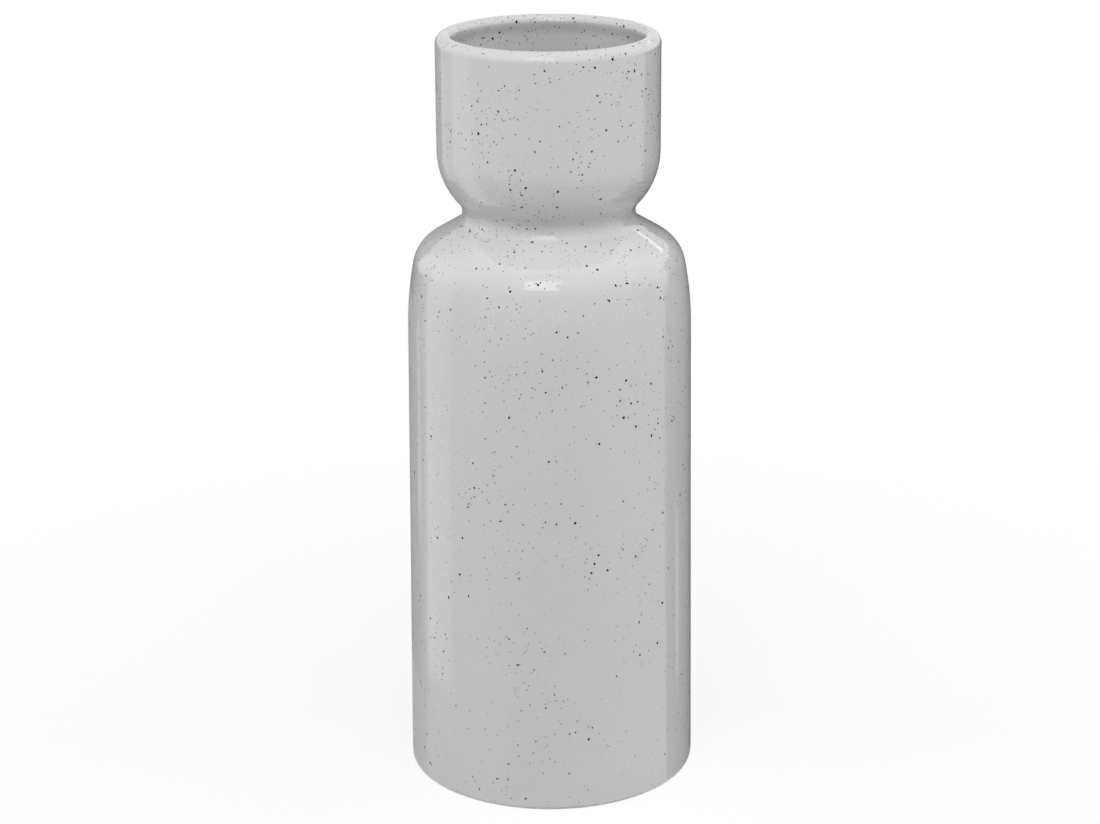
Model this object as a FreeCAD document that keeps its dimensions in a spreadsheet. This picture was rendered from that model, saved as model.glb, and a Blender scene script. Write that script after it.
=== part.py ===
import FreeCAD, Part
import math
import os
import re
import Sketcher

# Stoneware bottle vase: a figure of revolution about +Z, in millimetres.
# The origin is the centre of the foot, on the surface that the vase stands on.

# Sizes that can each be set by themselves.
sizes = [
    ("body_height", 191.5),     # table to the start of the shoulder
    ("shoulder_rise", 46.7),    # start of the shoulder to the narrowest part of the neck
    ("cup_height", 71.8),       # narrowest part of the neck to the top of the lip
    ("foot_radius", 59.75),     # glazed wall at the table
    ("shoulder_radius", 57.7),  # glazed wall at the start of the shoulder
    ("neck_radius", 34.95),     # glazed neck at its narrowest
    ("cup_radius", 44.85),      # glazed cup wall
    ("slope_angle", 31.0),      # shoulder slope below the neck, from horizontal, in degrees
    ("haunch_share", 1.428),    # long curve from the wall, as a share of the rise squared over the run
    ("shoulder_share", 0.3685),  # tight curve of the shoulder's inside, as a share of the run
    ("neck_round", 5.8),        # hollow of the neck
    ("cup_round", 30.0),        # underside of the cup
    ("clay_wall", 6.0),         # clay between the two glaze coats
    ("glaze", 0.4),             # one coat of glaze
    ("glaze_line", 0.9),        # height at which the outer coat is wiped off
    ("lip_lap", 12.0),          # reach of the outer coat down inside the cup, from the lip's top
    ("floor_thickness", 8.0),   # clay floor
    ("floor_round", 14.0),      # inside corner between floor and wall
    ("foot_recess", 3.5),       # depth of the hollow underside
    ("recess_round", 1.6),      # corner of the hollow underside
    ("ring_width", 9.0),        # foot ring
    ("foot_round", 0.8),        # softened edges of the foot ring
    ("slip_gap", 0.5),          # joining slip between collar and cup
    ("lip_outer_share", 0.24),  # how far the lip's outer curve is rounder than half the whole wall
    ("lip_inner_share", 0.12),  # how far the lip's inner curve is tighter than half the whole wall
    ("groove_share", 0.25),     # half the groove's width, and its depth, as a share of the clay wall
]

# Sizes worked out from those above. The four faces are depths below the glazed outside.
derived = [
    ("outside", "=0 * glaze"),
    ("clay_outside", "=glaze"),
    ("clay_inside", "=glaze + clay_wall"),
    ("inside", "=clay_inside + glaze"),
    ("neck_height", "=body_height + shoulder_rise"),
    ("lip_height", "=neck_height + cup_height"),
    ("draft_angle", "=atan((foot_radius - shoulder_radius) / body_height)"),
    ("shoulder_run", "=shoulder_radius - neck_radius - shoulder_rise * tan(draft_angle)"),
    ("haunch_round", "=haunch_share * shoulder_rise ^ 2 / shoulder_run"),
    ("shoulder_round", "=inside + shoulder_share * shoulder_run"),
    ("lip_outer_round", "=(1 + lip_outer_share) * inside / 2"),
    ("lip_inner_round", "=(1 - lip_inner_share) * inside / 2"),
    ("floor_height", "=foot_recess + floor_thickness"),
    ("glazed_floor_height", "=floor_height + glaze"),
    ("glazed_floor_round", "=floor_round - glaze"),
    ("ring_inner_radius", "=foot_radius - ring_width"),
    ("joint_radius", "=neck_radius - glaze - clay_wall / 2"),
    ("cup_base", "=neck_height + slip_gap"),
    ("groove_half", "=groove_share * clay_wall"),
    ("groove_base", "=neck_height - groove_half"),
    ("tongue_half", "=groove_half - slip_gap"),
    ("tongue_base", "=groove_base + slip_gap"),
]

# The collar's rim and the cup's base, each as its height, half its step's width and the step's base.
groove = ("neck_height", "groove_half", "groove_base")
tongue = ("cup_base", "tongue_half", "tongue_base")

quarter_turn = math.pi / 2
half_turn = math.pi
out_of_page = FreeCAD.Vector(0, 0, 1)


def make_sheet(doc):
    sheet = doc.addObject("Spreadsheet::Sheet", "Sizes")
    for row, (name, value) in enumerate(sizes + derived, start=1):
        sheet.set("A%d" % row, name.replace("_", " "))
        sheet.set("B%d" % row, str(value))
        sheet.setAlias("B%d" % row, name)
    doc.recompute()
    return sheet


class Shape:
    # Centres and turning points of the vase's curves, for starting the sketches in place.

    def __init__(self, sheet):
        for name, _ in sizes + derived:
            value = sheet.get(name)
            setattr(self, name, float(getattr(value, "Value", value)))
        self.draft = math.radians(self.draft_angle)
        self.slope = math.radians(self.slope_angle)
        self.haunch = self.off_wall(self.body_height, self.haunch_round)
        self.neck = (self.neck_radius + self.neck_round, self.neck_height)
        self.haunch_end = self.find_haunch_end()
        reach = self.haunch_round - self.shoulder_round
        self.shoulder = along(self.haunch, reach, self.haunch_end)
        across = self.neck[0] - (self.cup_radius - self.cup_round)
        up = math.sqrt((self.cup_round + self.neck_round) ** 2 - across ** 2)
        self.cup = (self.cup_radius - self.cup_round, self.neck_height + up)
        self.cup_turn = math.atan2(up, across)
        self.place_lip()

    def off_wall(self, height, depth):
        # The point that lies this far inside the sloping wall's point at this height.
        radius = self.foot_radius - height * math.tan(self.draft)
        return (radius - depth * math.cos(self.draft), height - depth * math.sin(self.draft))

    def find_haunch_end(self):
        # The shoulder curve touches the haunch from inside and the slope from below.
        normal = (math.sin(self.slope), math.cos(self.slope))
        apart = [a - b for a, b in zip(self.haunch, self.neck)]
        drop = apart[0] * normal[0] + apart[1] * normal[1]
        share = -(self.neck_round + self.shoulder_round + drop) / (self.haunch_round - self.shoulder_round)
        return quarter_turn - self.slope - math.acos(share)

    def place_lip(self):
        radius = self.lip_inner_round
        inner = (self.cup_radius - self.inside + radius, self.lip_height - radius)
        across = inner[0] - (self.cup_radius - self.lip_outer_round)
        reach = self.lip_outer_round - radius
        self.lip_turn = math.acos(across / reach)
        self.lip_inner = inner
        self.lip_outer = along(inner, -reach, self.lip_turn)

    def corner(self, height, depth, radius):
        # Centre of a round between the sloping wall at this depth and a level line.
        middle = height + radius
        across = self.foot_radius - middle * math.tan(self.draft)
        return (across - (depth + radius) / math.cos(self.draft), middle)


def along(centre, radius, angle):
    return (centre[0] + radius * math.cos(angle), centre[1] + radius * math.sin(angle))


class Outline:
    # A half section. Each stretch is kept as (geometry, its lower end, its upper end).

    def __init__(self, body, shape):
        self.shape = shape
        self.sketch = body.newObject("Sketcher::SketchObject", body.Name + "_section")
        planes = [f for f in body.Origin.OriginFeatures if f.Role == "XZ_Plane"]
        self.sketch.AttachmentSupport = [(planes[0], "")]
        self.sketch.MapMode = "FlatFace"

    def line(self, start, end):
        ends = [FreeCAD.Vector(point[0], point[1], 0) for point in (start, end)]
        return (self.sketch.addGeometry(Part.LineSegment(*ends), False), 1, 2)

    def arc(self, centre, radius, low, high):
        circle = Part.Circle(FreeCAD.Vector(centre[0], centre[1], 0), out_of_page, radius)
        return (self.sketch.addGeometry(Part.ArcOfCircle(circle, low, high), False), 1, 2)

    def add(self, *values):
        return self.sketch.addConstraint(Sketcher.Constraint(*values))

    def bind(self, rule, *values):
        # Each constraint is named for the first size in its rule.
        number = self.add(*values)
        name = "%s_%d" % (re.search(r"Sizes[.](\w+)", rule).group(1), number)
        self.sketch.renameConstraint(number, name)
        self.sketch.setExpression("Constraints." + name, rule)

    def across(self, point, rule, value):
        self.bind(rule, "DistanceX", -1, 1, point[0], point[1], value)

    def up(self, point, rule, value):
        self.bind(rule, "DistanceY", -1, 1, point[0], point[1], value)

    def radius(self, stretch, rule, value):
        self.bind(rule, "Radius", stretch[0], value)

    def smooth(self, first, second):
        self.add("Tangent", first[0], first[1], second[0], second[1])

    def meet(self, first, second):
        self.add("Coincident", first[0], first[1], second[0], second[1])


def low(stretch):
    return (stretch[0], stretch[1])


def high(stretch):
    return (stretch[0], stretch[2])


def centre(stretch):
    return (stretch[0], 3)


def turned(stretch):
    # The same stretch, read from its other end.
    return (stretch[0], stretch[2], stretch[1])


# Wall, haunch, shoulder and slope at one depth. Returns the wall and the slope.
def draw_body(outline, face, foot_height):
    s = outline.shape
    depth = getattr(s, face)
    top = s.off_wall(s.body_height, depth)
    slope_turn = quarter_turn - s.slope
    wall = outline.line(s.off_wall(foot_height, depth), top)
    haunch = outline.arc(s.haunch, s.haunch_round - depth, s.draft, s.haunch_end)
    shoulder = outline.arc(s.shoulder, s.shoulder_round - depth, s.haunch_end, slope_turn)
    slope_start = along(s.shoulder, s.shoulder_round - depth, slope_turn)
    slope_end = along(s.neck, s.neck_round + depth, half_turn + slope_turn)
    slope = outline.line(slope_start, slope_end)
    outline.bind("90 deg + Sizes.draft_angle", "Angle", wall[0], quarter_turn + s.draft)
    outline.across(high(wall), "Sizes.shoulder_radius - Sizes.%s * cos(Sizes.draft_angle)" % face, top[0])
    outline.up(high(wall), "Sizes.body_height - Sizes.%s * sin(Sizes.draft_angle)" % face, top[1])
    outline.radius(haunch, "Sizes.haunch_round - Sizes." + face, s.haunch_round - depth)
    outline.radius(shoulder, "Sizes.shoulder_round - Sizes." + face, s.shoulder_round - depth)
    outline.bind("180 deg - Sizes.slope_angle * 1 deg", "Angle", slope[0], half_turn - s.slope)
    outline.smooth(high(wall), low(haunch))
    outline.smooth(high(haunch), low(shoulder))
    outline.smooth(high(shoulder), low(slope))
    return wall, slope


# Hollow of the neck at one depth, between two angles about its centre.
def draw_neck(outline, face, top_turn, bottom_turn):
    s = outline.shape
    radius = s.neck_round + getattr(s, face)
    neck = turned(outline.arc(s.neck, radius, top_turn, bottom_turn))
    outline.radius(neck, "Sizes.neck_round + Sizes." + face, radius)
    outline.across(centre(neck), "Sizes.neck_radius + Sizes.neck_round", s.neck[0])
    outline.up(centre(neck), "Sizes.neck_height", s.neck[1])
    return neck


# Underside and wall of the cup at one depth. Returns both.
def draw_cup(outline, face, wall_top):
    s = outline.shape
    depth = getattr(s, face)
    base = outline.arc(s.cup, s.cup_round - depth, -s.cup_turn, 0)
    wall = outline.line((s.cup_radius - depth, s.cup[1]), (s.cup_radius - depth, wall_top))
    outline.radius(base, "Sizes.cup_round - Sizes." + face, s.cup_round - depth)
    outline.add("Vertical", wall[0])
    outline.across(low(wall), "Sizes.cup_radius - Sizes." + face, s.cup_radius - depth)
    outline.smooth(high(base), low(wall))
    return base, wall


# The lip's two curves at one depth, from the outer wall over to the inner wall.
def draw_lip(outline, face, outer_wall, inner_wall):
    s = outline.shape
    depth = getattr(s, face)
    outer = outline.arc(s.lip_outer, s.lip_outer_round - depth, 0, s.lip_turn)
    inner = outline.arc(s.lip_inner, s.lip_inner_round - depth, s.lip_turn, half_turn)
    outline.radius(outer, "Sizes.lip_outer_round - Sizes." + face, s.lip_outer_round - depth)
    outline.radius(inner, "Sizes.lip_inner_round - Sizes." + face, s.lip_inner_round - depth)
    outline.up(centre(inner), "Sizes.lip_height - Sizes.lip_inner_round", s.lip_inner[1])
    outline.smooth(high(outer_wall), low(outer))
    outline.smooth(high(outer), low(inner))
    outline.smooth(high(inner), high(inner_wall))


# Inside corner and floor at one depth, as far as the axis.
def draw_floor(outline, face, wall, height_name, round_name):
    s = outline.shape
    radius = getattr(s, round_name)
    height = getattr(s, height_name)
    middle = s.corner(height, getattr(s, face), radius)
    corner = outline.arc(middle, radius, -quarter_turn, s.draft)
    floor = outline.line((0, height), (middle[0], height))
    outline.radius(corner, "Sizes." + round_name, radius)
    outline.up(low(floor), "Sizes." + height_name, height)
    outline.add("PointOnObject", floor[0], 1, -2)
    outline.add("Horizontal", floor[0])
    outline.smooth(high(corner), low(wall))
    outline.smooth(high(floor), low(corner))
    return floor


# Hollow underside and foot ring, from the axis to the glazed wall.
def draw_foot(outline, wall):
    s = outline.shape
    ring = s.ring_inner_radius
    edge = s.foot_round
    inset = ring - s.recess_round
    outer = s.corner(0, s.clay_outside, edge)
    under = outline.line((0, s.foot_recess), (inset, s.foot_recess))
    hollow = outline.arc((inset, s.foot_recess - s.recess_round), s.recess_round, 0, quarter_turn)
    side = outline.line((ring, edge), (ring, s.foot_recess - s.recess_round))
    inner_edge = outline.arc((ring + edge, edge), edge, half_turn, half_turn + quarter_turn)
    sole = outline.line((ring + edge, 0), (outer[0], 0))
    outer_edge = outline.arc(outer, edge, -quarter_turn, s.draft)
    outline.radius(hollow, "Sizes.recess_round", s.recess_round)
    outline.radius(inner_edge, "Sizes.foot_round", edge)
    outline.radius(outer_edge, "Sizes.foot_round", edge)
    outline.up(low(under), "Sizes.foot_recess", s.foot_recess)
    outline.across(low(side), "Sizes.ring_inner_radius", ring)
    outline.add("PointOnObject", under[0], 1, -2)
    outline.add("PointOnObject", sole[0], 1, -1)
    outline.add("Horizontal", under[0])
    outline.add("Horizontal", sole[0])
    outline.add("Vertical", side[0])
    outline.smooth(high(under), high(hollow))
    outline.smooth(low(hollow), high(side))
    outline.smooth(low(side), low(inner_edge))
    outline.smooth(high(inner_edge), low(sole))
    outline.smooth(high(sole), low(outer_edge))
    outline.smooth(high(outer_edge), low(wall))
    return under


# A level rim with a square step down in its middle, between two ends of the neck.
def draw_rim(outline, names, inner_neck, outer_neck):
    s = outline.shape
    height, half, base = [getattr(s, name) for name in names]
    left = s.joint_radius - half
    right = s.joint_radius + half
    corners = [(inner_neck[1], height), (left, height), (left, base)]
    corners += [(right, base), (right, height), (outer_neck[1], height)]
    edges = [outline.line(first, second) for first, second in zip(corners, corners[1:])]
    for first, second in zip(edges, edges[1:]):
        outline.meet(high(first), low(second))
    for number, edge in enumerate(edges):
        outline.add("Vertical" if number % 2 else "Horizontal", edge[0])
    outline.meet(low(edges[0]), inner_neck[0])
    outline.meet(high(edges[-1]), outer_neck[0])
    for point in (inner_neck[0], outer_neck[0]):
        outline.up(point, "Sizes." + names[0], height)
    step = edges[2]
    outline.across(low(step), "Sizes.joint_radius - Sizes." + names[1], left)
    outline.across(high(step), "Sizes.joint_radius + Sizes." + names[1], right)
    outline.up(low(step), "Sizes." + names[2], base)


# Where the neck's hollow passes the cup's base, as an angle about its centre.
def base_turn(s, face):
    return half_turn - math.asin(s.slip_gap / (s.neck_round + getattr(s, face)))


# An end of the neck's hollow, with its distance from the axis.
def neck_end(s, point, face, turn):
    return (point, along(s.neck, s.neck_round + getattr(s, face), turn)[0])


def draw_lower_body(outline):
    s = outline.shape
    slope_turn = half_turn + quarter_turn - s.slope
    ends = []
    walls = []
    for face, start in (("clay_inside", s.floor_height + s.floor_round), ("clay_outside", s.foot_round)):
        wall, slope = draw_body(outline, face, start)
        neck = draw_neck(outline, face, half_turn, slope_turn)
        outline.smooth(high(slope), low(neck))
        walls.append(wall)
        ends.append(neck_end(s, high(neck), face, half_turn))
    under = draw_foot(outline, walls[1])
    floor = draw_floor(outline, "clay_inside", walls[0], "floor_height", "floor_round")
    axis = outline.line((0, s.foot_recess), (0, s.floor_height))
    outline.meet(low(axis), low(under))
    outline.meet(high(axis), low(floor))
    draw_rim(outline, groove, *ends)


def draw_upper_cup(outline):
    s = outline.shape
    ends = []
    walls = []
    for face, top in (("clay_inside", s.lip_inner[1]), ("clay_outside", s.lip_outer[1])):
        turn = base_turn(s, face)
        neck = draw_neck(outline, face, half_turn - s.cup_turn, turn)
        base, wall = draw_cup(outline, face, top)
        outline.smooth(high(neck), low(base))
        walls.append(wall)
        ends.append(neck_end(s, low(neck), face, turn))
    draw_lip(outline, "clay_outside", walls[1], walls[0])
    draw_rim(outline, tongue, *ends)


def draw_slip_seam(outline):
    s = outline.shape
    bottom = []
    top = []
    for face in ("clay_inside", "clay_outside"):
        turn = base_turn(s, face)
        neck = draw_neck(outline, face, turn, half_turn)
        bottom.append(neck_end(s, low(neck), face, half_turn))
        top.append(neck_end(s, high(neck), face, turn))
    draw_rim(outline, groove, *bottom)
    draw_rim(outline, tongue, *top)


# One side of a glaze coat, from the wall below to the cup above.
def draw_whole_side(outline, face, foot_height, wall_top):
    s = outline.shape
    wall, slope = draw_body(outline, face, foot_height)
    neck = draw_neck(outline, face, half_turn - s.cup_turn, half_turn + quarter_turn - s.slope)
    base, cup_wall = draw_cup(outline, face, wall_top)
    outline.smooth(high(slope), low(neck))
    outline.smooth(high(neck), low(base))
    return wall, cup_wall


def draw_outer_glaze(outline):
    s = outline.shape
    lap = s.lip_height - s.lip_lap
    feet = []
    laps = []
    for face, far in (("outside", "inside"), ("clay_outside", "clay_inside")):
        wall, cup_wall = draw_whole_side(outline, face, s.glaze_line, s.lip_outer[1])
        radius = s.cup_radius - getattr(s, far)
        inner_wall = outline.line((radius, lap), (radius, s.lip_inner[1]))
        outline.add("Vertical", inner_wall[0])
        outline.across(low(inner_wall), "Sizes.cup_radius - Sizes." + far, radius)
        outline.up(low(inner_wall), "Sizes.lip_height - Sizes.lip_lap", lap)
        outline.up(low(wall), "Sizes.glaze_line", s.glaze_line)
        draw_lip(outline, face, cup_wall, inner_wall)
        feet.append((low(wall), s.foot_radius - getattr(s, face), s.glaze_line))
        laps.append((low(inner_wall), radius, lap))
    for pair in (feet, laps):
        close_gap(outline, pair)


def draw_liner_glaze(outline):
    s = outline.shape
    lap = s.lip_height - s.lip_lap
    floors = []
    laps = []
    for face, prefix in (("clay_inside", ""), ("inside", "glazed_")):
        height_name = prefix + "floor_height"
        wall, cup_wall = draw_whole_side(outline, face, s.floor_height + s.floor_round, lap)
        floor = draw_floor(outline, face, wall, height_name, prefix + "floor_round")
        outline.up(high(cup_wall), "Sizes.lip_height - Sizes.lip_lap", lap)
        floors.append((low(floor), 0, getattr(s, height_name)))
        laps.append((high(cup_wall), s.cup_radius - getattr(s, face), lap))
    for pair in (floors, laps):
        close_gap(outline, pair)


# A straight edge across the glaze, between two ends given as (point, radius, height).
def close_gap(outline, pair):
    edge = outline.line(pair[0][1:], pair[1][1:])
    outline.meet(low(edge), pair[0][0])
    outline.meet(high(edge), pair[1][0])


def make_piece(doc, shape, name, draw):
    body = doc.addObject("PartDesign::Body", name)
    body.Label = name
    body.Placement = FreeCAD.Placement()
    outline = Outline(body, shape)
    draw(outline)
    turn = body.newObject("PartDesign::Revolution", name + "_turn")
    turn.Profile = outline.sketch
    turn.ReferenceAxis = (outline.sketch, ["V_Axis"])
    turn.Angle = 360
    outline.sketch.Visibility = False
    doc.recompute()
    print("%-12s section fully set: %s" % (name, outline.sketch.FullyConstrained))
    return body


def check(doc, bodies):
    for item in doc.Objects:
        if "Invalid" in item.State or "Error" in item.State:
            raise RuntimeError("%s did not rebuild: %s" % (item.Name, item.State))
    for body in bodies:
        if body.Shape.isNull() or not body.Shape.isValid() or len(body.Shape.Solids) != 1:
            raise RuntimeError("%s is not one valid solid" % body.Label)


pieces = [
    ("lower_body", draw_lower_body),
    ("upper_cup", draw_upper_cup),
    ("slip_seam", draw_slip_seam),
    ("outer_glaze", draw_outer_glaze),
    ("liner_glaze", draw_liner_glaze),
]

doc = FreeCAD.newDocument("bottle_vase")
sheet = make_sheet(doc)
shape = Shape(sheet)
bodies = [make_piece(doc, shape, name, draw) for name, draw in pieces]
doc.recompute()
check(doc, bodies)
os.makedirs("parts", exist_ok=True)
for body in bodies:
    body.Shape.exportStep("parts/%s.step" % body.Label)
    box = body.Shape.optimalBoundingBox()
    print("%-12s %9.0f mm3  z %.2f to %.2f  r %.2f" % (
        body.Label, body.Shape.Volume, box.ZMin, box.ZMax, box.XMax))
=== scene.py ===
import bpy
import math
from mathutils import Euler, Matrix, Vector


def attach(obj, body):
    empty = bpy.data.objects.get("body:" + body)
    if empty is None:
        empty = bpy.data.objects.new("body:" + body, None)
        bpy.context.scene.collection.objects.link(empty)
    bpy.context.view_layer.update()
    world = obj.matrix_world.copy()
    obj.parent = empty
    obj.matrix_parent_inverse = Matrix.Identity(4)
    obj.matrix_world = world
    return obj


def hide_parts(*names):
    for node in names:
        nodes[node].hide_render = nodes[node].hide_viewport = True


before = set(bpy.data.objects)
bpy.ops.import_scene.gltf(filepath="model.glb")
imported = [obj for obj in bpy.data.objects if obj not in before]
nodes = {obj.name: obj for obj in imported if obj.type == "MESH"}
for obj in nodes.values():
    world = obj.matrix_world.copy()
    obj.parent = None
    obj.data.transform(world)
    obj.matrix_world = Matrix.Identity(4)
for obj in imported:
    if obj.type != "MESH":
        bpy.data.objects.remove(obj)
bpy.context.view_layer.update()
print("frame loaded", sorted(nodes))

# The vase's own sizes in metres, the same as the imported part's.
form = {
    "bodyHeight": 0.1915,       # table to the start of the shoulder
    "shoulderRise": 0.0467,     # from there to the tightest part of the neck
    "cupHeight": 0.0718,        # from there to the top of the lip
    "footRadius": 0.05975,
    "shoulderRadius": 0.0577,
    "neckRadius": 0.03495,
    "cupRadius": 0.04485,
    "slopeAngle": math.radians(31),
    "haunchShare": 1.428,       # long curve off the wall, as a share of the rise squared over the run
    "shoulderShare": 0.3685,    # tight curve of the shoulder's inside, as a share of the run
    "neckRound": 0.0058,
    "cupRound": 0.030,
    "clayWall": 0.006,
    "glaze": 0.0004,
    "glazeLine": 0.0009,        # height at which the outer coat is wiped off
    "lipLap": 0.012,            # reach of the outer coat down inside the cup
    "floorHeight": 0.0115,      # top of the clay floor
    "floorRound": 0.014,
    "lipOuterShare": 0.24,      # how far the lip's outer curve is rounder than half the wall
    "lipInnerShare": 0.12,      # how far its inner curve is tighter
}
arcStep = math.radians(5)       # most turn from one point of an arc to the next
sameSpot = 2e-5                 # points closer than this are one


# The pot's outline as (radius, height) points. A depth is measured inwards from the glazed outside.
class Outline:
    def __init__(self, form):
        self.form = form
        self.clayOutside = form["glaze"]
        self.clayInside = form["glaze"] + form["clayWall"]
        self.inside = 2 * form["glaze"] + form["clayWall"]
        self.neckHeight = form["bodyHeight"] + form["shoulderRise"]
        self.lipHeight = self.neckHeight + form["cupHeight"]
        self.draft = math.atan((form["footRadius"] - form["shoulderRadius"]) / form["bodyHeight"])
        self.placeShoulder()
        self.placeCup()
        self.placeLip()

    # Haunch and shoulder curves, and the turn at which one runs into the other.
    def placeShoulder(self):
        form = self.form
        rise = form["shoulderRise"]
        run = form["shoulderRadius"] - form["neckRadius"] - rise * math.tan(self.draft)
        self.haunchRound = form["haunchShare"] * rise ** 2 / run
        self.shoulderRound = self.inside + form["shoulderShare"] * run
        self.haunch = (form["shoulderRadius"] - self.haunchRound * math.cos(self.draft),
                       form["bodyHeight"] - self.haunchRound * math.sin(self.draft))
        self.neck = (form["neckRadius"] + form["neckRound"], self.neckHeight)
        self.slope = math.pi / 2 - form["slopeAngle"]
        slopeLean = (math.cos(self.slope), math.sin(self.slope))
        drop = sum((a - b) * c for a, b, c in zip(self.haunch, self.neck, slopeLean))
        rounds = form["neckRound"] + self.shoulderRound
        apart = self.haunchRound - self.shoulderRound
        self.haunchTurn = self.slope - math.acos(-(rounds + drop) / apart)
        self.shoulder = self.along(self.haunch, apart, self.haunchTurn)

    def placeCup(self):
        form = self.form
        across = self.neck[0] - form["cupRadius"] + form["cupRound"]
        up = math.sqrt((form["cupRound"] + form["neckRound"]) ** 2 - across ** 2)
        self.cupTurn = math.atan2(up, across)
        self.cup = (form["cupRadius"] - form["cupRound"], self.neckHeight + up)

    def placeLip(self):
        form = self.form
        self.lipOuterRound = (1 + form["lipOuterShare"]) * self.inside / 2
        self.lipInnerRound = (1 - form["lipInnerShare"]) * self.inside / 2
        self.lipInner = (form["cupRadius"] - self.inside + self.lipInnerRound,
                         self.lipHeight - self.lipInnerRound)
        apart = self.lipOuterRound - self.lipInnerRound
        self.lipTurn = math.acos((self.lipInner[0] - form["cupRadius"] + self.lipOuterRound) / apart)
        self.lipOuter = self.along(self.lipInner, -apart, self.lipTurn)

    def along(self, start, distance, turn):
        return (start[0] + distance * math.cos(turn), start[1] + distance * math.sin(turn))

    def wallRadius(self, depth, height):
        lean = self.form["footRadius"] * math.cos(self.draft) - depth - height * math.sin(self.draft)
        return lean / math.cos(self.draft)

    def line(self, start, end, spacing):
        steps = max(1, math.ceil(math.dist(start, end) / spacing))
        return [tuple(a + (b - a) * i / steps for a, b in zip(start, end)) for i in range(steps + 1)]

    def arc(self, centre, radius, first, last, spacing):
        turn = abs(last - first)
        steps = max(math.ceil(turn * radius / spacing), math.ceil(turn / arcStep))
        return [self.along(centre, radius, first + (last - first) * i / steps) for i in range(steps + 1)]

    # One side of the pot at a depth, from the wall near the table to the cup's wall.
    def side(self, depth, fromHeight, toHeight, spacing):
        wallTop = self.along(self.haunch, self.haunchRound - depth, self.draft)
        slopeEnd = self.along(self.neck, -self.form["neckRound"] - depth, self.slope)
        cupWall = self.form["cupRadius"] - depth
        parts = [
            self.line((self.wallRadius(depth, fromHeight), fromHeight), wallTop, spacing),
            self.arc(self.haunch, self.haunchRound - depth, self.draft, self.haunchTurn, spacing),
            self.arc(self.shoulder, self.shoulderRound - depth, self.haunchTurn, self.slope, spacing),
            [slopeEnd],
            self.arc(self.neck, self.form["neckRound"] + depth, math.pi + self.slope,
                     math.pi - self.cupTurn, spacing),
            self.arc(self.cup, self.form["cupRound"] - depth, -self.cupTurn, 0, spacing),
            self.line((cupWall, self.cup[1]), (cupWall, toHeight), spacing),
        ]
        return self.joined(parts)

    # Over the lip at a depth, then down the cup's inside as far as the lap.
    def lip(self, depth, spacing):
        inner = self.form["cupRadius"] - self.inside + depth
        parts = [
            self.arc(self.lipOuter, self.lipOuterRound - depth, 0, self.lipTurn, spacing),
            self.arc(self.lipInner, self.lipInnerRound - depth, self.lipTurn, math.pi, spacing),
            self.line((inner, self.lipInner[1]), (inner, self.lipHeight - self.form["lipLap"]), spacing),
        ]
        return self.joined(parts)

    # Floor and inside corner at a depth, from the axis to the foot of the wall.
    def floor(self, depth, height, radius, spacing):
        up = height + radius
        centre = (self.wallRadius(depth, up) - radius / math.cos(self.draft), up)
        parts = [
            self.line((0, height), (centre[0], height), spacing),
            self.arc(centre, radius, -math.pi / 2, self.draft, spacing),
        ]
        return self.joined(parts)

    # End to end, leaving out points that fall on the one before.
    def joined(self, parts):
        points = []
        for point in [point for part in parts for point in part]:
            if not points or math.dist(points[-1], point) > sameSpot:
                points.append(point)
        return points


pot = Outline(form)

coat = {
    "dip": 0.00006,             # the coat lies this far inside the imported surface, to leave room for specks
    "bite": 0.00003,            # its back is sunk this far into the clay
    "bead": 0.00035,            # rounded lower edge
    "beadSteps": 6,
    "ringSpacing": 0.0026,
    "backSpacing": 0.006,
    "turns": 208,
    "weld": 1e-6,
    "uneven": 0.00004,          # how far the thrown wall wanders
    "unevenScale": 45,
    "edgeWave": 0.0003,         # how far the wiped lower edge wanders
    "edgeWaveScale": 70,
    "edgeWaveFrom": 0.3,        # noise at which the wander begins and is full
    "edgeWaveTo": 0.8,
    "edgeReach": 3,             # it dies away by this many times the edge's height
    "sharpAngle": 0.9,
}


# What the eye and hand meet on the outside, from the lower edge over the lip to the lap inside.
def outerFace(spacing):
    depth = coat["dip"]
    low = form["glazeLine"] + coat["bead"]
    up = pot.side(depth, low, pot.lipOuter[1], spacing)
    return pot.joined([up, pot.lip(depth, spacing)])


# The same inside, from the middle of the floor to the lap.
def innerFace(spacing):
    depth = pot.inside - coat["dip"]
    radius = form["floorRound"] - form["glaze"]
    height = form["floorHeight"] + form["glaze"] - coat["dip"]
    up = height + radius
    floor = pot.floor(depth, height, radius, spacing)
    side = pot.side(depth, up + radius * math.sin(pot.draft), pot.lipHeight - form["lipLap"], spacing)
    return pot.joined([floor, side])


# Both shells run so that their faces point outwards once they are turned.
def outerShell():
    depth = pot.clayOutside + coat["bite"]
    wide = depth - coat["dip"]
    face = outerFace(coat["ringSpacing"])
    bead = []
    for i in range(coat["beadSteps"]):
        turn = math.pi / 2 * i / coat["beadSteps"]
        height = form["glazeLine"] + coat["bead"] * (1 - math.cos(turn))
        out = wide * math.sin(turn)
        bead.append((pot.wallRadius(depth - out, height), height))
    back = pot.joined([pot.side(depth, form["glazeLine"], pot.lipOuter[1], coat["backSpacing"]),
                       pot.lip(depth, coat["backSpacing"])])
    points = pot.joined([bead, face, back[:0:-1]])
    return (points + points[:1])[::-1]


def linerShell():
    depth = pot.clayInside - coat["bite"]
    spacing = coat["backSpacing"]
    up = form["floorHeight"] + form["floorRound"]
    floor = pot.floor(depth, form["floorHeight"] - coat["bite"], form["floorRound"], spacing)
    side = pot.side(depth, up, pot.lipHeight - form["lipLap"], spacing)
    return innerFace(coat["ringSpacing"]) + pot.joined([floor, side])[::-1]


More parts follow.
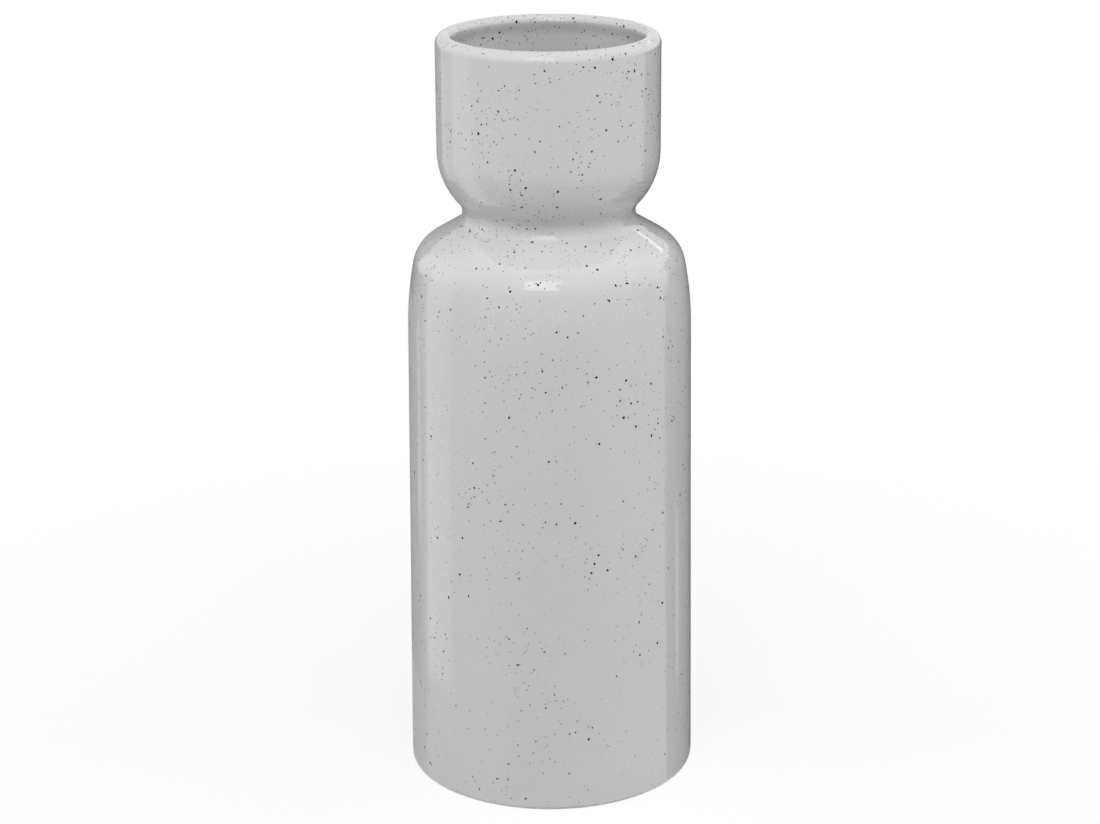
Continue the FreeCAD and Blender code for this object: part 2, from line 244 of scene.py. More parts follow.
# A node's output, so that values can be worked with as plain expressions.
class Link:
    def __init__(self, maker, socket):
        self.maker = maker
        self.socket = socket

    def worked(self, operation, *values):
        return self.maker.add("ShaderNodeMath", {"operation": operation}, dict(enumerate(values)))

    def __add__(self, other):
        return self.worked("ADD", self, other)

    def __sub__(self, other):
        return self.worked("SUBTRACT", self, other)

    def __rsub__(self, other):
        return self.worked("SUBTRACT", other, self)

    def __mul__(self, other):
        return self.worked("MULTIPLY", self, other)

    def __truediv__(self, other):
        return self.worked("DIVIDE", self, other)

    def __rtruediv__(self, other):
        return self.worked("DIVIDE", other, self)

    def __pow__(self, other):
        return self.worked("POWER", self, other)

    __radd__ = __add__
    __rmul__ = __mul__

    def floor(self):
        return self.worked("FLOOR", self)

    def above(self, other):
        return self.worked("GREATER_THAN", self, other)

    # Another output of the same node.
    def also(self, name):
        return Link(self.maker, self.socket.node.outputs[name])


# Adds nodes to one tree.
class Maker:
    def __init__(self, tree):
        self.tree = tree

    # Settings first, then values or links by socket. Hands back the output that take names, or the first.
    def add(self, kind, settings=None, values=None, take=None):
        node = self.tree.nodes.new(kind)
        node.location = (len(self.tree.nodes) * 180, 0)
        for name, setting in (settings or {}).items():
            setattr(node, name, setting)
        for key, value in (values or {}).items():
            socket = node.inputs[key]
            if isinstance(value, Link):
                self.tree.links.new(value.socket, socket)
            else:
                socket.default_value = value
        if take is not None:
            return Link(self, node.outputs[take])
        shown = [socket for socket in node.outputs if socket.enabled]
        return Link(self, shown[0]) if shown else None

    def noise(self, where, scale, detail=2.0, roughness=0.5):
        values = {"Vector": where, "Scale": scale, "Detail": detail, "Roughness": roughness}
        return self.add("ShaderNodeTexNoise", None, values)

    # 0 below low, 1 above high, and a smooth rise between.
    def rise(self, value, low, high):
        values = {"Value": value, "From Min": low, "From Max": high}
        return self.add("ShaderNodeMapRange", {"interpolation_type": "SMOOTHSTEP"}, values)

    def blend(self, share, first, second):
        values = {"Factor": share, 6: first, 7: second}
        return self.add("ShaderNodeMix", {"data_type": "RGBA"}, values, 2)

    def scaled(self, vector, amount):
        return self.add("ShaderNodeVectorMath", {"operation": "SCALE"}, {0: vector, "Scale": amount})

    def summed(self, first, second):
        return self.add("ShaderNodeVectorMath", {"operation": "ADD"}, {0: first, 1: second})

    def split(self, vector):
        return self.add("ShaderNodeSeparateXYZ", None, {0: vector})

    def turned(self, vector, angle):
        return self.add("ShaderNodeVectorRotate", {"rotation_type": "Z_AXIS"},
                        {"Vector": vector, "Angle": angle})

    # A number drawn for each point.
    def draw(self, least, most, seed):
        values = {"Min": least, "Max": most, "Seed": seed}
        return self.add("FunctionNodeRandomValue", {"data_type": "FLOAT"}, values, 1)

    def aboutAxis(self, angle):
        return self.add("FunctionNodeAxisAngleToRotation", None, {"Axis": (0, 0, 1), "Angle": angle})

    # Every shape tree ends here.
    def finish(self, shape, material):
        real = self.add("GeometryNodeRealizeInstances", None, {"Geometry": shape})
        done = self.add("GeometryNodeSetMaterial", None, {"Geometry": real, "Material": material})
        self.add("NodeGroupOutput", None, {"Geometry": done})


def newShapeTree(name, inputs):
    tree = bpy.data.node_groups.new(name, "GeometryNodeTree")
    tree.interface.new_socket("Geometry", in_out="INPUT", socket_type="NodeSocketGeometry")
    for label, kind in inputs:
        tree.interface.new_socket(label, in_out="INPUT", socket_type="NodeSocket" + kind)
    tree.interface.new_socket("Geometry", in_out="OUTPUT", socket_type="NodeSocketGeometry")
    maker = Maker(tree)
    return tree, maker, maker.add("NodeGroupInput")


# Turns an outline lying in the XZ plane about the Z axis. The points' order is kept as rings.
def addTurning(maker, given):
    outline = given.also("Geometry")
    turns = given.also("Turns")
    rings = maker.add("GeometryNodeAttributeDomainSize", {"component": "MESH"}, {0: outline},
                      "Point Count")
    across = turns + 1
    grid = maker.add("GeometryNodeMeshGrid", None, {"Vertices X": rings, "Vertices Y": across})
    index = maker.add("GeometryNodeInputIndex")
    ring = ((index + 0.5) / across).floor()
    turn = (index - ring * across) / turns * math.tau
    place = maker.add("GeometryNodeInputPosition")
    point = maker.add("GeometryNodeSampleIndex", {"data_type": "FLOAT_VECTOR", "domain": "POINT"},
                      {"Geometry": outline, "Value": place, "Index": ring})
    moved = maker.add("GeometryNodeSetPosition", None,
                      {"Geometry": grid, "Position": maker.turned(point, turn)})
    return maker.add("GeometryNodeMergeByDistance", None, {"Geometry": moved, "Distance": coat["weld"]})


def makeTurningTree():
    inputs = [("Turns", "Int"), ("Uneven", "Float"), ("Edge Wave", "Float"), ("Edge Height", "Float"),
              ("Sharp Angle", "Float"), ("Material", "Material")]
    tree, maker, given = newShapeTree("turnedCoat", inputs)
    shell = addTurning(maker, given)
    place = maker.add("GeometryNodeInputPosition")
    edge = given.also("Edge Height")
    nearEdge = 1 - maker.rise(maker.split(place).also("Z"), edge, edge * coat["edgeReach"])
    wander = maker.rise(maker.noise(place, coat["edgeWaveScale"]), coat["edgeWaveFrom"], coat["edgeWaveTo"])
    wave = wander * given.also("Edge Wave") * nearEdge
    away = (maker.noise(place, coat["unevenScale"], 1.0) - 0.5) * given.also("Uneven") * 2
    radius = maker.add("ShaderNodeVectorMath", {"operation": "MULTIPLY"}, {0: place, 1: (1.0, 1.0, 0.0)})
    outwards = maker.add("ShaderNodeVectorMath", {"operation": "NORMALIZE"}, {0: radius})
    lift = maker.add("ShaderNodeCombineXYZ", None, {"Z": wave})
    offset = maker.summed(maker.scaled(outwards, away), lift)
    uneven = maker.add("GeometryNodeSetPosition", None, {"Geometry": shell, "Offset": offset})
    bend = maker.add("GeometryNodeInputMeshEdgeAngle")
    gentle = 1 - bend.above(given.also("Sharp Angle"))
    smooth = maker.add("GeometryNodeSetShadeSmooth", {"domain": "EDGE"},
                       {"Geometry": uneven, "Shade Smooth": gentle})
    maker.finish(smooth, given.also("Material"))
    return tree


speckSpread = {
    "turns": 96,                # the face that they are scattered on
    "spacing": 0.003,
    "flatness": 0.00003,        # how far a speck stands proud
    "stretch": (0.7, 1.35),     # how far it is drawn out one way
    "lowHeight": 0.02,          # they are fewer below this height, and all there above the next
    "highHeight": 0.26,
    "lowShare": 0.45,
    "linerShare": 0.6,          # of the outside's number, on the inside
    "linerSeed": 100,           # added to each seed on the inside
    "groupDetail": 3.0,
    "groupRoughness": 0.7,
    "groupShift": 0.37,         # metres through the noise for each step of the seed
    "sizeDraw": 3,              # added to the seed for each thing that is drawn
    "stretchDraw": 5,
    "turnDraw": 7,
    "shiftDraw": 9,
}
# Lengths in metres. Sparse and crowded are the noise at which a group thins out and is full.
speckKinds = {
    "dark": {
        "colour": (0.006, 0.006, 0.006),
        "roughness": 0.12,
        "perSquareMetre": 76000,
        "groupSize": 0.014,
        "sparse": 0.38,
        "crowded": 0.68,
        "least": 0.00027,
        "most": 0.00068,
        "skew": 3.4,            # the higher, the fewer large ones
        "segments": 8,
        "rings": 3,
        "seed": 14,
    },
    "fine": {
        "colour": (0.014, 0.013, 0.012),
        "roughness": 0.12,
        "perSquareMetre": 330000,
        "groupSize": 0.009,
        "sparse": 0.42,
        "crowded": 0.64,
        "least": 0.00011,
        "most": 0.00030,
        "skew": 1.4,
        "segments": 6,
        "rings": 2,
        "seed": 26,
    },
    "ochre": {
        "colour": (0.27, 0.26, 0.05),
        "roughness": 0.15,
        "perSquareMetre": 75000,
        "groupSize": 0.016,
        "sparse": 0.50,
        "crowded": 0.72,
        "least": 0.00020,
        "most": 0.00050,
        "skew": 2.2,
        "segments": 8,
        "rings": 3,
        "seed": 37,
    },
}


# Small flattened drops sunk in the glaze, in loose groups, along the face that the outline turns.
def makeSpeckTree():
    inputs = [("Turns", "Int"), ("Per Square Metre", "Float"), ("Group Size", "Float"),
              ("Sparse", "Float"), ("Crowded", "Float"),
              ("Low Height", "Float"), ("High Height", "Float"), ("Low Share", "Float"),
              ("Least Radius", "Float"), ("Most Radius", "Float"), ("Skew", "Float"),
              ("Flatness", "Float"), ("Segments", "Int"), ("Rings", "Int"), ("Seed", "Int"),
              ("Material", "Material")]
    tree, maker, given = newShapeTree("glazeSpecks", inputs)
    face = addTurning(maker, given)
    place = maker.add("GeometryNodeInputPosition")
    height = maker.split(place).also("Z")
    seed = given.also("Seed")
    aside = maker.add("ShaderNodeCombineXYZ", None, {"X": seed * speckSpread["groupShift"]})
    groups = maker.noise(maker.summed(place, aside), 1 / given.also("Group Size"),
                         speckSpread["groupDetail"], speckSpread["groupRoughness"])
    grouped = maker.rise(groups, given.also("Sparse"), given.also("Crowded"))
    low = given.also("Low Share")
    climb = low + (1 - low) * maker.rise(height, given.also("Low Height"), given.also("High Height"))
    density = given.also("Per Square Metre") * grouped * climb
    points = maker.add("GeometryNodeDistributePointsOnFaces", {"distribute_method": "RANDOM"},
                       {"Mesh": face, "Density": density, "Seed": seed})
    chance = maker.draw(0.0, 1.0, seed + speckSpread["sizeDraw"])
    least = given.also("Least Radius")
    radius = least + (given.also("Most Radius") - least) * chance ** given.also("Skew")
    stretch = maker.draw(*speckSpread["stretch"], seed + speckSpread["stretchDraw"])
    turn = maker.draw(0.0, math.tau, seed + speckSpread["turnDraw"])
    # Each is carried about Z by up to a turn's step, so that they don't stand in the face's columns.
    steps = maker.draw(-1.0, 1.0, seed + speckSpread["shiftDraw"])
    shift = steps * math.tau / given.also("Turns")
    spread = maker.add("GeometryNodeSetPosition", None,
                       {"Geometry": points, "Position": maker.turned(place, shift)})
    drop = maker.add("GeometryNodeMeshUVSphere", None,
                     {"Segments": given.also("Segments"), "Rings": given.also("Rings"), "Radius": 1.0},
                     "Mesh")
    size = maker.add("ShaderNodeCombineXYZ", None,
                     {"X": radius * stretch, "Y": radius / stretch, "Z": given.also("Flatness")})
    flat = maker.add("FunctionNodeRotateRotation", {"rotation_space": "GLOBAL"},
                     {0: points.also("Rotation"), 1: maker.aboutAxis(shift)})
    spin = maker.add("FunctionNodeRotateRotation", {"rotation_space": "LOCAL"},
                     {0: flat, 1: maker.aboutAxis(turn)})
    drops = maker.add("GeometryNodeInstanceOnPoints", None,
                      {"Points": spread, "Instance": drop, "Rotation": spin, "Scale": size})
    real = maker.add("GeometryNodeRealizeInstances", None, {"Geometry": drops})
    smooth = maker.add("GeometryNodeSetShadeSmooth", None, {"Geometry": real, "Shade Smooth": True})
    maker.finish(smooth, given.also("Material"))
    return tree


# Runs a tree on an outline and keeps the result as a plain mesh.
def shaped(name, points, tree, values):
    mesh = bpy.data.meshes.new(name + "Outline")
    mesh.from_pydata([(radius, 0, height) for radius, height in points],
                     [(i, i + 1) for i in range(len(points) - 1)], [])
    piece = bpy.data.objects.new(name, mesh)
    bpy.context.collection.objects.link(piece)
    modifier = piece.modifiers.new("shape", "NODES")
    modifier.node_group = tree
    keys = {item.name: item.identifier for item in tree.interface.items_tree if item.in_out == "INPUT"}
    for label, value in values.items():
        modifier[keys[label]] = value
    whole = piece.evaluated_get(bpy.context.evaluated_depsgraph_get())
    result = bpy.data.meshes.new_from_object(whole)
    piece.modifiers.remove(modifier)
    piece.data = result
    result.name = name
    bpy.data.meshes.remove(mesh)
    return piece


# A material or world with nothing in its tree yet.
def emptied(holder):
    holder.use_nodes = True
    holder.node_tree.nodes.clear()
    return Maker(holder.node_tree)


def newFinish(name):
    material = bpy.data.materials.new(name)
    return material, emptied(material)


# Each kind of mark: the size of the cells it may stand in, the share of cells that hold one, and the
# least and most radius, in metres.
glazeLook = {
    "colour": (0.484, 0.484, 0.486, 1),
    "cloud": 0.03,              # slow drift of tone
    "cloudScale": 28,
    "grain": 0.02,              # fine mottle
    "grainScale": 1500,
    "patch": (0.475, 0.462, 0.385, 1),
    "patchShare": 0.40,
    "patchScale": 190,
    "patchEdge": (0.56, 0.72),
    "softDark": (0.16, 0.155, 0.15, 1),
    "softDarkShare": 0.9,
    "fineMarks": (0.0010, 0.30, 0.00012, 0.00026),
    "fineShare": 0.5,
    "broadMarks": (0.0021, 0.10, 0.0003, 0.00060),
    "broadShare": 0.35,
    "crowdLeast": 0.25,         # how dark the marks are between their groups
    "crowdScale": 120,
    "crowdEdge": (0.38, 0.62),
    # Painted glints: small light marks put into the glaze colour.
    "paintedGlint": (0.80, 0.80, 0.80, 1),
    "glintMarks": (0.0015, 0.35, 0.00010, 0.00022),
    "glintShare": 0.75,
    "glintShift": (0.3, 0.1, 0.2),
    # Painted shade under the lip inside: how far it darkens the colour, and the depths below the lip where it
    # rises and dies away.
    "hollowShade": 0.22,
    "hollowStarts": (0.0022, 0.0046),
    "hollowEnds": (0.0050, 0.0090),
    "roughness": 0.025,
    "roughnessDrift": 0.03,
    "roughnessScale": 300,
    "ripple": 0.00002,          # height of the slow waves in the gloss
    "rippleScale": 55,
    "peel": 0.0000012,          # height of the fine ones
    "peelScale": 900,
}
speckLook = {
    "gloss": 0.12,              # iron breaks through the glaze and shines less
    "mottleScale": 2500,
    "mottleLeast": 0.7,
    "mottleSpan": 0.6,
}
clayLook = {
    "colour": (0.57, 0.54, 0.49, 1),
    "slipColour": (0.56, 0.51, 0.44, 1),
    "warm": (0.50, 0.43, 0.35, 1),
    "warmShare": 0.5,
    "warmScale": 40,
    "warmEdge": (0.4, 0.75),
    "sandScale": 1400,
    "sandLeast": 0.8,
    "sandSpan": 0.4,
    "sandHeight": 0.00004,
    "grog": (0.30, 0.25, 0.20, 1),
    "grogShare": 0.8,
    "grogMarks": (0.0014, 0.25, 0.00015, 0.0004),
    "grogDepth": 0.00005,
    "roughness": 0.72,
    "roughnessDrift": 0.2,
    "toolSpacing": 0.0011,      # rings left by the trimming tool
    "toolHeight": 0.00003,
    "toolWander": 0.8,
    "toolWanderScale": 60,
}
markEdge = 0.55                 # share of a mark's radius where its edge begins to fade
markLeast = 0.25                # how dark the faintest mark is


# Round marks in space, each of its own size and darkness.
def addMarks(maker, where, cell, share, least, most):
    values = {"Vector": where, "Scale": 1 / cell, "Randomness": 1.0}
    cells = maker.add("ShaderNodeTexVoronoi", {"feature": "F1"}, values, "Distance")
    chance = maker.add("ShaderNodeSeparateColor", None, {0: cells.also("Color")})
    radius = (least + (most - least) * chance.also("Green") ** 2) / cell
    there = chance.also("Red").above(1 - share)
    mark = 1 - maker.rise(cells / radius, markEdge, 1.0)
    return mark * there * (markLeast + (1 - markLeast) * chance.also("Blue"))


# 1 in the hollow under the lip inside, where painted shade darkens the glaze, and 0 elsewhere.
def addUnderLipShade(maker, where):
    split = maker.split(where)
    across = (split.also("X") * split.also("X") + split.also("Y") * split.also("Y")) ** 0.5
    below = pot.lipHeight - split.also("Z")
    starts = maker.rise(below, *glazeLook["hollowStarts"])
    ends = 1 - maker.rise(below, *glazeLook["hollowEnds"])
    inside = 1 - across.above(form["cupRadius"] - pot.inside / 2)
    return starts * ends * inside


# Grey glaze with warm patches and soft dark marks, small painted glints, and painted shade in the hollow
# under the lip inside.
def makeGlaze():
    look = glazeLook
    material, maker = newFinish("speckledGreyGlaze")
    where = maker.add("ShaderNodeTexCoord", None, None, "Object")
    cloud = maker.noise(where, look["cloudScale"], 3.0) - 0.5
    grain = maker.noise(where, look["grainScale"], 2.0, 0.7) - 0.5
    tone = 1 + cloud * look["cloud"] * 2 + grain * look["grain"] * 2
    toned = maker.scaled(look["colour"][:3], tone)
    patches = maker.noise(where, look["patchScale"], 4.0, 0.6)
    stain = maker.rise(patches, *look["patchEdge"]) * look["patchShare"]
    stained = maker.blend(stain, toned, look["patch"])
    fine = addMarks(maker, where, *look["fineMarks"]) * look["fineShare"]
    broad = addMarks(maker, where, *look["broadMarks"]) * look["broadShare"]
    dark = maker.add("ShaderNodeMath", {"operation": "MAXIMUM"}, {0: fine, 1: broad})
    grouped = maker.rise(maker.noise(where, look["crowdScale"]), *look["crowdEdge"])
    crowd = look["crowdLeast"] + grouped * (1 - look["crowdLeast"])
    marked = maker.blend(dark * crowd * look["softDarkShare"], stained, look["softDark"])
    # Painted glints: small light marks blended into the colour.
    glints = addMarks(maker, maker.summed(where, look["glintShift"]), *look["glintMarks"])
    glinted = maker.blend(glints * look["glintShare"], marked, look["paintedGlint"])
    # Painted shade: the colour is darkened in the hollow under the lip inside.
    colour = maker.scaled(glinted, 1 - addUnderLipShade(maker, where) * look["hollowShade"])
    ripple = maker.noise(where, look["rippleScale"]) * look["ripple"]
    peel = maker.noise(where, look["peelScale"], 1.0) * look["peel"]
    bump = maker.add("ShaderNodeBump", None, {"Strength": 1.0, "Distance": 1.0, "Height": ripple + peel})
    roughness = look["roughness"] + maker.noise(where, look["roughnessScale"]) * look["roughnessDrift"]
    shader = maker.add("ShaderNodeBsdfPrincipled", None,
                       {"Base Color": colour, "Roughness": roughness, "IOR": 1.5, "Normal": bump})
    maker.add("ShaderNodeOutputMaterial", None, {"Surface": shader})
    return material


def makeSpeckFinish(name, colour, roughness):
    look = speckLook
    material, maker = newFinish(name)
    where = maker.add("ShaderNodeTexCoord", None, None, "Object")
    mottle = look["mottleLeast"] + maker.noise(where, look["mottleScale"]) * look["mottleSpan"]
    shader = maker.add("ShaderNodeBsdfPrincipled", None,
                       {"Base Color": maker.scaled(colour, mottle), "Roughness": roughness,
                        "Specular IOR Level": look["gloss"]})
    maker.add("ShaderNodeOutputMaterial", None, {"Surface": shader})
    return material


# Bare clay: fine sand, dark grog and, where asked, the trimming tool's rings.
def makeClay(name, colour, rings):
    look = clayLook
    material, maker = newFinish(name)
    where = maker.add("ShaderNodeTexCoord", None, None, "Object")
    warm = maker.rise(maker.noise(where, look["warmScale"], 3.0), *look["warmEdge"]) * look["warmShare"]
    sand = maker.noise(where, look["sandScale"], 3.0, 0.7)
    base = maker.blend(warm, colour, look["warm"])
    toned = maker.scaled(base, look["sandLeast"] + sand * look["sandSpan"])
    grog = addMarks(maker, where, *look["grogMarks"])
    tinted = maker.blend(grog * look["grogShare"], toned, look["grog"])
    height = sand * look["sandHeight"] - grog * look["grogDepth"]
    if rings:
        split = maker.split(where)
        across = split.also("X") * split.also("X") + split.also("Y") * split.also("Y")
        wander = maker.noise(where, look["toolWanderScale"], 1.0) * look["toolWander"]
        wave = (across ** 0.5 / look["toolSpacing"] + wander) * math.tau
        ridges = maker.add("ShaderNodeMath", {"operation": "SINE"}, {0: wave})
        height = height + ridges * look["toolHeight"]
    bump = maker.add("ShaderNodeBump", None, {"Strength": 1.0, "Distance": 1.0, "Height": height})
    roughness = look["roughness"] + sand * look["roughnessDrift"]
    shader = maker.add("ShaderNodeBsdfPrincipled", None,
                       {"Base Color": tinted, "Roughness": roughness, "Normal": bump})
    maker.add("ShaderNodeOutputMaterial", None, {"Surface": shader})
    return material


glazeFinish = makeGlaze()
print("glaze made")

turningTree = makeTurningTree()
coatValues = {
    "Turns": coat["turns"],
    "Uneven": coat["uneven"],
    "Edge Wave": coat["edgeWave"],
    "Edge Height": form["glazeLine"] + coat["bead"],
    "Sharp Angle": coat["sharpAngle"],
    "Material": glazeFinish,
}
linerValues = dict(coatValues, **{"Edge Wave": 0.0})
outerCoat = shaped("outerGlazeCoat", outerShell(), turningTree, coatValues)
linerCoat = shaped("linerGlazeCoat", linerShell(), turningTree, linerValues)
print("coats turned", len(outerCoat.data.polygons), len(linerCoat.data.polygons))

speckTree = makeSpeckTree()
speckFinishes = {kind: makeSpeckFinish(kind + "Speck", look["colour"], look["roughness"])
                 for kind, look in speckKinds.items()}


def scatterSpecks(name, points, share, seedShift):
    pieces = []
    for kind, look in speckKinds.items():
        values = {
            "Turns": speckSpread["turns"],
            "Per Square Metre": look["perSquareMetre"] * share,
            "Group Size": look["groupSize"],
            "Sparse": look["sparse"],
            "Crowded": look["crowded"],
            "Low Height": speckSpread["lowHeight"],
            "High Height": speckSpread["highHeight"],
            "Low Share": speckSpread["lowShare"],
            "Least Radius": look["least"],
            "Most Radius": look["most"],
            "Skew": look["skew"],
            "Flatness": speckSpread["flatness"],
            "Segments": look["segments"],
            "Rings": look["rings"],
            "Seed": look["seed"] + seedShift,
            "Material": speckFinishes[kind],
        }
        pieces.append(shaped(name + kind.capitalize() + "Specks", points, speckTree, values))
    return pieces


outerSpecks = scatterSpecks("outer", outerFace(speckSpread["spacing"]), 1.0, 0)
linerSpecks = scatterSpecks("liner", innerFace(speckSpread["spacing"]), speckSpread["linerShare"],
                            speckSpread["linerSeed"])
print("specks set", [len(piece.data.polygons) for piece in outerSpecks + linerSpecks])

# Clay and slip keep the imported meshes.
clayFinish = makeClay("bareStoneware", clayLook["colour"], True)
slipFinish = makeClay("joiningSlip", clayLook["slipColour"], False)
for name, finish in (("lower_body", clayFinish), ("upper_cup", clayFinish), ("slip_seam", slipFinish)):
    mesh = nodes[name].data
    mesh.materials.clear()
    mesh.materials.append(finish)
print("clay and slip finished")

for piece in [outerCoat] + outerSpecks:
    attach(piece, "root")
for piece in [linerCoat] + linerSpecks:
    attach(piece, "root")
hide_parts("outer_glaze")
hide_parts("liner_glaze")
print("pieces ride")

studio = {
    "white": 1.0,               # what the camera and the gloss see of floor and world
    "ambient": 0.04,            # world's light on the pot
    "floorColour": (0.80, 0.80, 0.80, 1),
    "floorHalf": 6,
    "shadowShare": 0.16,        # how much of the floor's own shadow the camera sees near the pot
    "shadowReach": (0.10, 0.45),
    "lampAim": 0.65,            # height that the lamps look at, as a share of the pot's
    "cardLight": 0.05,
    "cardSteps": 48,
    "stripSteps": 12,
    "stripFade": 2,             # steps at each side over which a strip fades
    "domeRadius": 2.2,
    "domeLift": 0.2,
}
# Each lamp: bearing from the camera's side, degrees up, metres from the pot, width, height, watts, and
# whether the gloss sees it.
lamps = {
    "frontLamp": (-7, 40, 1.6, 0.68, 0.68, 4.9, True),
    "highFrontLamp": (0, 48, 1.6, 1.6, 0.9, 9.6, False),
    "topLamp": (0, 66, 1.5, 1.6, 0.8, 12.0, False),
    "leftLamp": (-85, 25, 1.5, 1.0, 1.0, 9.3, False),
    "rightLamp": (85, 25, 1.5, 1.0, 1.0, 9.7, False),
    "rearRightLamp": (138, 40, 1.5, 0.7, 0.7, 3.8, False),
}
# Dark cards stand and lie round the back, where only the gloss sees them. Each has a lower and an upper
# edge, as (radius, bearing from, bearing to, height), the share of its width over which it fades in, and
# how dense it is.
cards = {
    "floorCardRight": ((0.0605, 54, 180, 0.0004), (0.13, 86, 180, 0.0004), 0.0, 1.0),
    "floorCardLeft": ((0.0605, -56, -180, 0.0004), (0.13, -96, -180, 0.0004), 0.12, 0.55),
    "bodyCardRight": ((0.13, 86, 180, 0.0004), (0.13, 86, 180, 0.205), 0.0, 1.0),
    "bodyCardLeft": ((0.13, -93, -180, 0.0004), (0.13, -93, -180, 0.205), 0.2, 0.7),
    "cupCardRight": ((0.25, 106, 180, 0.15), (0.25, 106, 180, 0.295), 0.0, 1.0),
    "cupCardLeft": ((0.25, -132, -180, 0.15), (0.25, -132, -180, 0.31), 0.0, 0.7),
}
# Bright strips draw lines and bands in the gloss: radius, bearing from, bearing to, lower and upper
# height, strength, and the share of the height over which each end fades.
strips = {
    "leftStrip": (0.11, -101.5, -107.5, 0.070, 0.200, 0.50, 0.2),
    "rightStrip": (0.11, 95.5, 100.0, 0.004, 0.105, 0.6, 0.2),
    "shoulderStrip": (1.985, 139, 160, 1.11, 1.26, 1.8, 0.2),
    "leftPanel": (0.14, -69, -101, 0.0004, 0.31, 0.68, 0.03),
}
# Glow of the room in the gloss: strength, degrees up where it begins and where it is full, and the
# bearings on each side between which it dies away.
glows = {
    "lowGlow": (0.68, -8, 8, 132, 148),
    "highGlow": (0.12, 40, 70, 181, 182),
}
plain = (1, 1, 1, 1)            # light without a tint


def atBearing(bearing, up, away):
    around = math.radians(bearing)
    above = math.radians(up)
    level = math.cos(above) * away
    return Vector((math.sin(around) * level, -math.cos(around) * level, math.sin(above) * away))


def addLamp(name, bearing, up, away, wide, high, watts, inGloss):
    lamp = bpy.data.lights.new(name, "AREA")
    lamp.shape = "RECTANGLE"
    lamp.size = wide
    lamp.size_y = high
    lamp.energy = watts
    holder = bpy.data.objects.new(name, lamp)
    towards = atBearing(bearing, up, away)
    holder.location = towards + Vector((0, 0, pot.lipHeight * studio["lampAim"]))
    holder.rotation_euler = (-towards).to_track_quat("-Z", "Y").to_euler()
    holder.visible_glossy = inGloss
    bpy.context.collection.objects.link(holder)


# 1 for the rays that look at the background, straight or in the gloss.
def addSeen(maker):
    camera = maker.add("ShaderNodeLightPath", None, None, "Is Camera Ray")
    seen = camera + camera.also("Is Glossy Ray") + camera.also("Is Transmission Ray")
    return maker.add("ShaderNodeMath", {"operation": "MINIMUM"}, {0: seen, 1: 1.0})


def addSky():
    world = bpy.data.worlds.new("studioWorld")
    bpy.context.scene.world = world
    maker = emptied(world)
    strength = studio["ambient"] + addSeen(maker) * (studio["white"] - studio["ambient"])
    light = maker.add("ShaderNodeBackground", None, {"Color": plain, "Strength": strength})
    maker.add("ShaderNodeOutputWorld", None, {"Surface": light})


def addFloor():
    half = studio["floorHalf"]
    corners = [(-half, -half, 0), (half, -half, 0), (half, half, 0), (-half, half, 0)]
    mesh = bpy.data.meshes.new("studioFloor")
    mesh.from_pydata(corners, [], [(0, 1, 2, 3)])
    floor = bpy.data.objects.new("studioFloor", mesh)
    bpy.context.collection.objects.link(floor)
    material, maker = newFinish("paleFloor")
    where = maker.add("ShaderNodeTexCoord", None, None, "Object")
    away = maker.add("ShaderNodeVectorMath", {"operation": "LENGTH"}, {0: where}, "Value")
    near = 1 - maker.rise(away, *studio["shadowReach"])
    matt = maker.add("ShaderNodeBsdfDiffuse", None, {"Color": studio["floorColour"]})
    white = maker.add("ShaderNodeEmission", None, {"Color": plain, "Strength": studio["white"]})
    share = addSeen(maker) * (1 - near * studio["shadowShare"])
    mixed = maker.add("ShaderNodeMixShader", None, {0: share, 1: matt, 2: white})
    maker.add("ShaderNodeOutputMaterial", None, {"Surface": mixed})
    mesh.materials.append(material)


# A sheet made of rows of points, seen only in the gloss, with a number stored at each point.
def addSheet(name, rows, values, finish):
    across = len(rows[0])
    faces = []
    for i in range(len(rows) - 1):
        for j in range(across - 1):
            corner = i * across + j
            faces.append((corner, corner + 1, corner + across + 1, corner + across))
    mesh = bpy.data.meshes.new(name)
    mesh.from_pydata([point for row in rows for point in row], [], faces)
    stored = mesh.attributes.new("light", "FLOAT", "POINT")
    for i, value in enumerate(value for row in values for value in row):
        stored.data[i].value = value
    sheet = bpy.data.objects.new(name, mesh)
    bpy.context.collection.objects.link(sheet)
    mesh.materials.append(finish)
    for ray in ("camera", "diffuse", "shadow", "transmission", "volume_scatter"):
        setattr(sheet, "visible_" + ray, False)


# Points round the pot from one bearing to another.
def bentRow(radius, first, last, height, steps):
    turns = [math.radians(first + (last - first) * i / steps) for i in range(steps + 1)]
    return [(radius * math.sin(turn), -radius * math.cos(turn), height) for turn in turns]


def eased(value, low, high):
    share = min(1.0, max(0.0, (value - low) / (high - low)))
    return share * share * (3 - 2 * share)


def addCard(name, lower, upper, fade, density):
    material, maker = newFinish(name)
    there = maker.add("ShaderNodeAttribute", {"attribute_name": "light"}, None, "Fac")
    glow = maker.add("ShaderNodeEmission", None, {"Color": plain, "Strength": studio["cardLight"]})
    clear = maker.add("ShaderNodeBsdfTransparent", None, {"Color": plain})
    both = maker.add("ShaderNodeMixShader", None, {0: there, 1: clear, 2: glow})
    maker.add("ShaderNodeOutputMaterial", None, {"Surface": both})
    steps = studio["cardSteps"]
    rows = [bentRow(*edge, steps) for edge in (lower, upper)]
    shares = [eased(i / steps, 0, fade) if fade else 1.0 for i in range(steps + 1)]
    addSheet(name, rows, [[density * share for share in shares]] * len(rows), material)


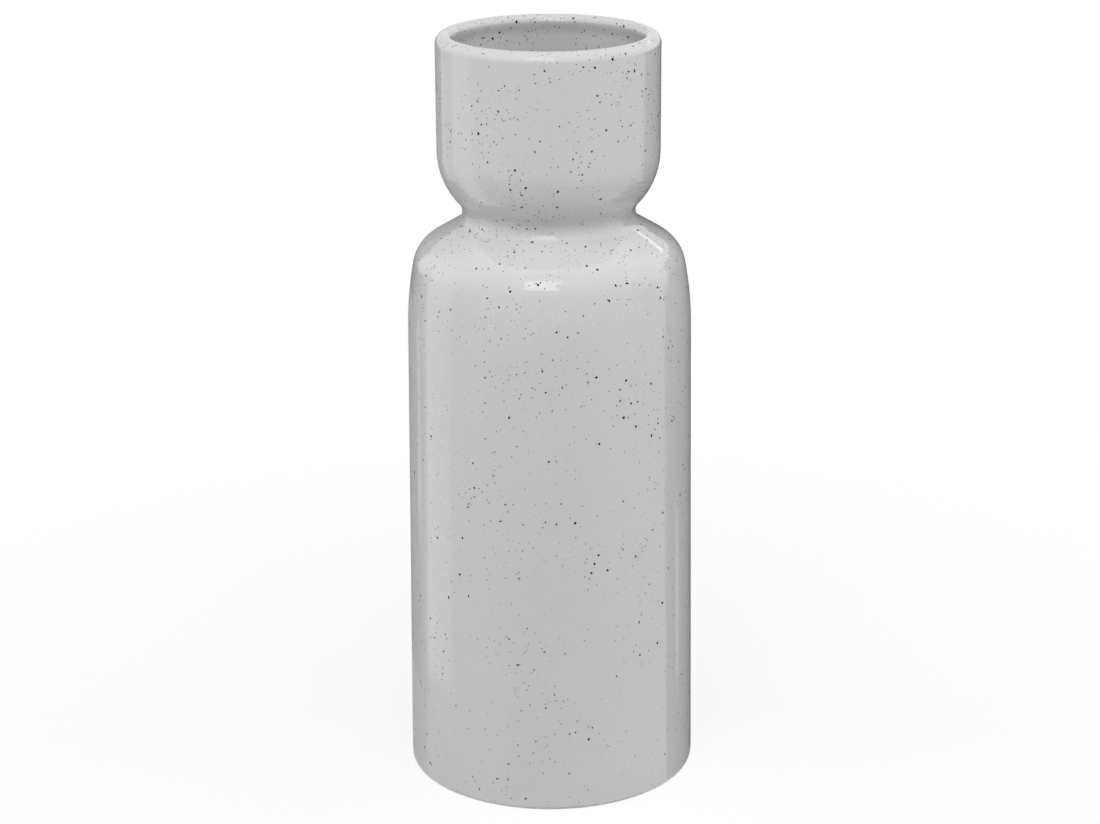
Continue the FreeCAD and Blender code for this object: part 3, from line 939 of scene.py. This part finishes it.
# Light that is added to what stands behind it.
def makeGlow(name):
    material, maker = newFinish(name)
    light = maker.add("ShaderNodeAttribute", {"attribute_name": "light"}, None, "Fac")
    glow = maker.add("ShaderNodeEmission", None, {"Color": plain, "Strength": light})
    clear = maker.add("ShaderNodeBsdfTransparent", None, {"Color": plain})
    both = maker.add("ShaderNodeAddShader", None, {0: glow, 1: clear})
    maker.add("ShaderNodeOutputMaterial", None, {"Surface": both})
    return material


def addStrip(name, radius, first, last, low, high, strength, softness):
    steps = studio["stripSteps"]
    fade = studio["stripFade"]
    sides = [strength * eased(min(i, steps - i), 0, fade) for i in range(steps + 1)]
    ends = [0.0] * (steps + 1)
    rows = [bentRow(radius, first, last, low + (high - low) * up, steps)
            for up in (0, softness, 1 - softness, 1)]
    addSheet(name, rows, [ends, sides, sides, ends], makeGlow(name))


def addDome():
    rows = []
    values = []
    for up in range(-10, 91, 2):
        row = []
        lights = []
        for bearing in range(-180, 181, 5):
            place = atBearing(bearing, up, studio["domeRadius"])
            row.append((place.x, place.y, place.z + studio["domeLift"]))
            lights.append(sum(strength * eased(up, begins, full) * (1 - eased(abs(bearing), near, far))
                              for strength, begins, full, near, far in glows.values()))
        rows.append(row)
        values.append(lights)
    addSheet("roomGlow", rows, values, makeGlow("roomGlow"))


addSky()
addFloor()
addDome()
for name, setting in lamps.items():
    addLamp(name, *setting)
for name, setting in cards.items():
    addCard(name, *setting)
for name, setting in strips.items():
    addStrip(name, *setting)
bpy.context.scene.view_settings.view_transform = "Standard"
print("studio lit")

camera = {
    "back": 1.0540,
    "height": 0.5029,
    "pitch": math.radians(18.41),   # looking down
    "roll": math.radians(-0.31),
    "lens": 88.08,
    "sensor": 36,
    "nearest": 0.01,
}
lensData = bpy.data.cameras.new("photoCamera")
lensData.lens = camera["lens"]
lensData.sensor_fit = "HORIZONTAL"
lensData.sensor_width = camera["sensor"]
lensData.clip_start = camera["nearest"]
photoCamera = bpy.data.objects.new("photoCamera", lensData)
photoCamera.location = (0, -camera["back"], camera["height"])
aim = Euler((math.pi / 2 - camera["pitch"], 0, 0)).to_matrix() @ Euler((0, 0, camera["roll"])).to_matrix()
photoCamera.rotation_euler = aim.to_euler()
bpy.context.collection.objects.link(photoCamera)
bpy.context.scene.camera = photoCamera
print("camera set")
